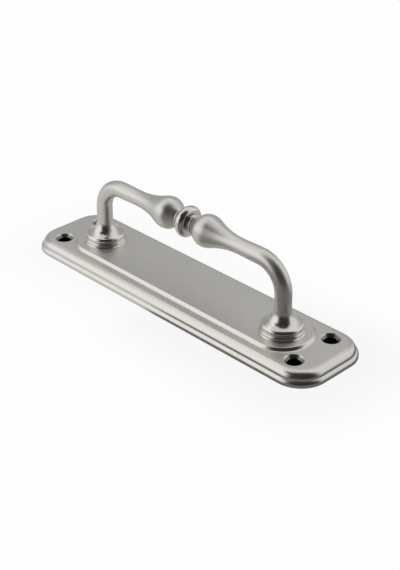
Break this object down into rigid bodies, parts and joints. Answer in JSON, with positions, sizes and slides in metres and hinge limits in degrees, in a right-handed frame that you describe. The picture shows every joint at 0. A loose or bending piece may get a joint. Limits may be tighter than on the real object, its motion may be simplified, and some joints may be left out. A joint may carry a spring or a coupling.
{
  "type": "door pull handle",
  "caption": "Door pull: a turned bar with a centre disc and bulbs, bent down to flared feet on a long round-cornered back plate with a moulded edge, raised panel and countersunk holes.",
  "frame": {"origin": "centre of the back plate's back face, which lies against the door", "axes": "+X along the plate's length, +Z out of the door, +Y across the plate"},
  "size_m": [0.2, 0.05, 0.052],
  "materials": {
    "plate_metal": "satin nickel plate over brass",
    "grip_metal": "satin nickel plate over brass",
    "screw_steel": "bright zinc plated"
  },
  "bodies": {
    "root": {"back_plate": "plate_metal", "pull_grip": "grip_metal", "fixing_screws": "screw_steel"}
  },
  "joints": []
}
